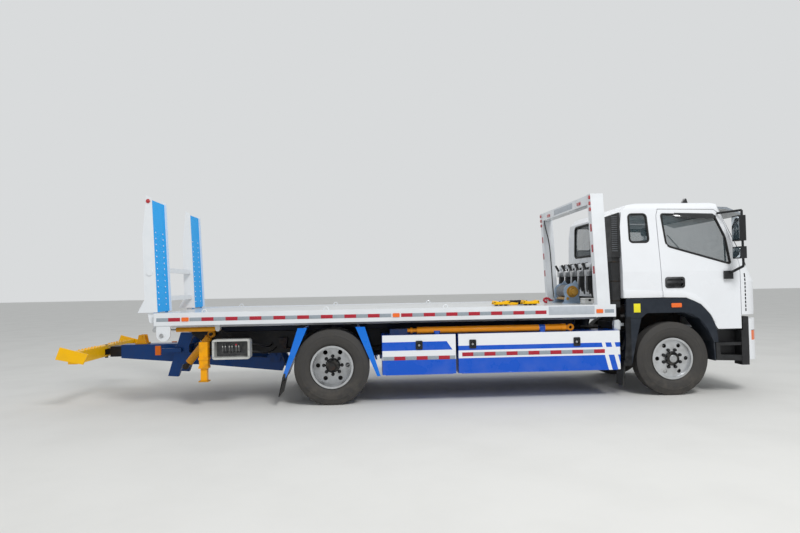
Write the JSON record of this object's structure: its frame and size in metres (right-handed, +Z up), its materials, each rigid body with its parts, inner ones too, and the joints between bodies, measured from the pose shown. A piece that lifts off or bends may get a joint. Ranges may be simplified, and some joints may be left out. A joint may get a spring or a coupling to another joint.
{
  "type": "flatbed tow truck",
  "caption": "Forward-control flatbed tow truck with a sliding tilting deck, upright loading ramps, portal frame, side boxes and a rear underlift.",
  "frame": {"origin": "on the ground under the middle of the truck's length and width", "axes": "+X forward, +Y to the driver's left, +Z up"},
  "size_m": [9.309, 2.77, 2.735],
  "materials": {
    "frame_black": "satin",
    "axle_black": "matt",
    "engine_grey": "matt",
    "box_blue": "gloss",
    "box_white": "gloss",
    "deck_white": "gloss",
    "cab_white": "gloss",
    "yellow": "gloss",
    "orange": "gloss",
    "navy": "gloss",
    "ramp_white": "gloss",
    "fender_grey": "matt",
    "black_plastic": "matt",
    "seat_cloth": "woven",
    "tyre": "worn",
    "rim_silver": "satin",
    "glass": "clear",
    "panel_grey": "satin",
    "winch_gold": "satin",
    "strap_black": "woven",
    "lamp_clear": "clear",
    "lamp_red": "gloss",
    "rod_chrome": "polished"
  },
  "bodies": {
    "chassis": {"chassis_frame": "frame_black", "front_axle": "axle_black", "rear_axle": "axle_black", "engine_block": "engine_grey", "side_boxes": "box_blue", "rear_guards": "box_blue", "tow_bar": "orange", "air_intake": "black_plastic", "control_panel": "panel_grey", "front_bumper": "cab_white", "head_lamps": "lamp_clear", "fenders": "fender_grey", "cab_steps": "black_plastic"},
    "knuckle_right": {"knuckle_right": "axle_black"},
    "knuckle_left": {"knuckle_left": "axle_black"},
    "tie_rod": {"tie_rod": "axle_black"},
    "wheel_front_right": {"tyre_front_right": "tyre", "rim_front_right": "rim_silver"},
    "wheel_front_left": {"tyre_front_left": "tyre", "rim_front_left": "rim_silver"},
    "wheels_rear_right": {"tyres_rear_right": "tyre", "rims_rear_right": "rim_silver"},
    "wheels_rear_left": {"tyres_rear_left": "tyre", "rims_rear_left": "rim_silver"},
    "cab": {"cab_shell": "cab_white", "cab_front": "cab_white", "grille": "black_plastic", "cab_glass": "glass", "sun_visor": "black_plastic", "dashboard": "black_plastic", "seats": "seat_cloth"},
    "door_right": {"door_right": "cab_white", "door_glass_right": "glass", "mirror_right": "black_plastic"},
    "door_left": {"door_left": "cab_white", "door_glass_left": "glass", "mirror_left": "black_plastic"},
    "box_door_right_small": {"box_door_right_small": "box_white"},
    "box_door_right_long": {"box_door_right_long": "box_white"},
    "box_door_left": {"box_door_left": "box_white"},
    "tilt_frame": {"tilt_frame": "navy"},
    "deck": {"deck": "deck_white", "portal_frame": "deck_white", "deck_lamps": "lamp_red", "winch": "winch_gold", "strap_rack": "strap_black"},
    "ramps": {"ramps": "ramp_white"},
    "tilt_barrels": {"tilt_cylinders": "frame_black"},
    "tilt_rods": {"tilt_rods": "rod_chrome"},
    "ramp_barrels": {"ramp_cylinders": "orange"},
    "ramp_rods": {"ramp_rods": "rod_chrome"},
    "lift_arm": {"lift_arm": "navy"},
    "boom": {"inner_boom": "yellow"},
    "crossbar": {"crossbar": "yellow"},
    "lift_barrels": {"lift_cylinders": "orange"},
    "lift_rods": {"lift_rods": "rod_chrome"},
    "leg_right": {"leg_right": "frame_black"},
    "leg_left": {"leg_left": "frame_black"}
  },
  "joints": [
    {"name": "steer_right", "type": "hinge", "parent": "chassis", "child": "knuckle_right", "pos_m": [3.385, -0.86, 0.487], "axis": [0, 0, 1], "range_deg": [-32, 32]},
    {"name": "steer_left", "type": "hinge", "parent": "chassis", "child": "knuckle_left", "pos_m": [3.385, 0.86, 0.487], "axis": [0, 0, 1], "range_deg": [-32, 32]},
    {"name": "tie_rod_end", "type": "hinge", "parent": "knuckle_right", "child": "tie_rod", "pos_m": [3.195, -0.78, 0.383], "axis": [0, 0, 1], "range_deg": [-32, 32]},
    {"name": "spin_front_right", "type": "hinge", "parent": "knuckle_right", "child": "wheel_front_right", "pos_m": [3.385, -0.952, 0.487], "axis": [0, 1, 0], "continuous": true},
    {"name": "spin_front_left", "type": "hinge", "parent": "knuckle_left", "child": "wheel_front_left", "pos_m": [3.385, 0.952, 0.487], "axis": [0, 1, 0], "continuous": true},
    {"name": "spin_rear_right", "type": "hinge", "parent": "chassis", "child": "wheels_rear_right", "pos_m": [-1.135, -0.85, 0.487], "axis": [0, 1, 0], "continuous": true},
    {"name": "spin_rear_left", "type": "hinge", "parent": "chassis", "child": "wheels_rear_left", "pos_m": [-1.135, 0.85, 0.487], "axis": [0, 1, 0], "continuous": true},
    {"name": "cab_tilt", "type": "hinge", "parent": "chassis", "child": "cab", "pos_m": [4.545, 0, 1.07], "axis": [0, 1, 0], "range_deg": [0, 45]},
    {"name": "door_swing_right", "type": "hinge", "parent": "cab", "child": "door_right", "pos_m": [4.319, -1.075, 1.4], "axis": [0, 0, 1], "range_deg": [0, 65]},
    {"name": "door_swing_left", "type": "hinge", "parent": "cab", "child": "door_left", "pos_m": [4.319, 1.075, 1.4], "axis": [0, 0, -1], "range_deg": [0, 65]},
    {"name": "box_swing_right_small", "type": "hinge", "parent": "chassis", "child": "box_door_right_small", "pos_m": [-0.005, -1.1, 0.372], "axis": [1, 0, 0], "range_deg": [0, 90]},
    {"name": "box_swing_right_long", "type": "hinge", "parent": "chassis", "child": "box_door_right_long", "pos_m": [1.58, -1.1, 0.372], "axis": [1, 0, 0], "range_deg": [0, 90]},
    {"name": "box_swing_left", "type": "hinge", "parent": "chassis", "child": "box_door_left", "pos_m": [1.085, 1.1, 0.372], "axis": [-1, 0, 0], "range_deg": [0, 90]},
    {"name": "deck_tilt", "type": "hinge", "parent": "chassis", "child": "tilt_frame", "pos_m": [-3.04, 0, 0.93], "axis": [0, -1, 0], "range_deg": [0, 12]},
    {"name": "deck_slide", "type": "slide", "parent": "tilt_frame", "child": "deck", "axis": [-1, 0, 0], "range_m": [0, 2.4]},
    {"name": "ramp_fold", "type": "hinge", "parent": "deck", "child": "ramps", "pos_m": [-3.405, 0, 1.13], "axis": [0, -1, 0], "range_deg": [0, 96]},
    {"name": "lift", "type": "hinge", "parent": "chassis", "child": "lift_arm", "pos_m": [-1.973, 0, 0.568], "axis": [0, -1, 0], "range_deg": [0, 8]},
    {"name": "boom_slide", "type": "slide", "parent": "lift_arm", "child": "boom", "axis": [-1, 0, 0], "range_m": [0, 0.5]},
    {"name": "crossbar_swivel", "type": "hinge", "parent": "boom", "child": "crossbar", "pos_m": [-4.425, 0, 0.65], "axis": [0, 0, 1], "range_deg": [-25, 25]},
    {"name": "leg_drop_right", "type": "slide", "parent": "chassis", "child": "leg_right", "axis": [0, 0, -1], "range_m": [0, 0.31]},
    {"name": "leg_drop_left", "type": "slide", "parent": "chassis", "child": "leg_left", "axis": [0, 0, -1], "range_m": [0, 0.31]},
    {"name": "tilt_barrel_pivot", "type": "hinge", "parent": "chassis", "child": "tilt_barrels", "pos_m": [-0.375, 0, 0.665], "axis": [0, -1, 0], "range_deg": [0, 32.63]},
    {"name": "tilt_rod_slide", "type": "slide", "parent": "tilt_barrels", "child": "tilt_rods", "axis": [0.9657, 0, 0.2597], "range_m": [0, 0.313]},
    {"name": "ramp_barrel_pivot", "type": "hinge", "parent": "deck", "child": "ramp_barrels", "pos_m": [-2.615, 0, 1], "axis": [0, -1, 0], "range_deg": [-8.17, 0]},
    {"name": "ramp_rod_slide", "type": "slide", "parent": "ramp_barrels", "child": "ramp_rods", "axis": [-1, 0, 0], "range_m": [-0.1756, 0]},
    {"name": "lift_barrel_pivot", "type": "hinge", "parent": "chassis", "child": "lift_barrels", "pos_m": [-2.807, 0, 0.905], "axis": [0, -1, 0], "range_deg": [0, 10.82]},
    {"name": "lift_rod_slide", "type": "slide", "parent": "lift_barrels", "child": "lift_rods", "axis": [-0.6247, 0, -0.7809], "range_m": [0, 0.125]}
  ],
  "couplings": [
    {"joint": "steer_left", "follows": "steer_right", "ratio": 1},
    {"joint": "tie_rod_end", "follows": "steer_right", "ratio": -1},
    {"joint": "tilt_barrel_pivot", "follows": "deck_tilt", "ratio": 2.6662},
    {"joint": "tilt_rod_slide", "follows": "deck_tilt", "m_per_rad": 1.4651},
    {"joint": "ramp_barrel_pivot", "follows": "ramp_fold", "ratio": -0.0835},
    {"joint": "ramp_rod_slide", "follows": "ramp_fold", "m_per_rad": -0.1027},
    {"joint": "lift_barrel_pivot", "follows": "lift", "ratio": 1.3255},
    {"joint": "lift_rod_slide", "follows": "lift", "m_per_rad": 0.8774}
  ]
}
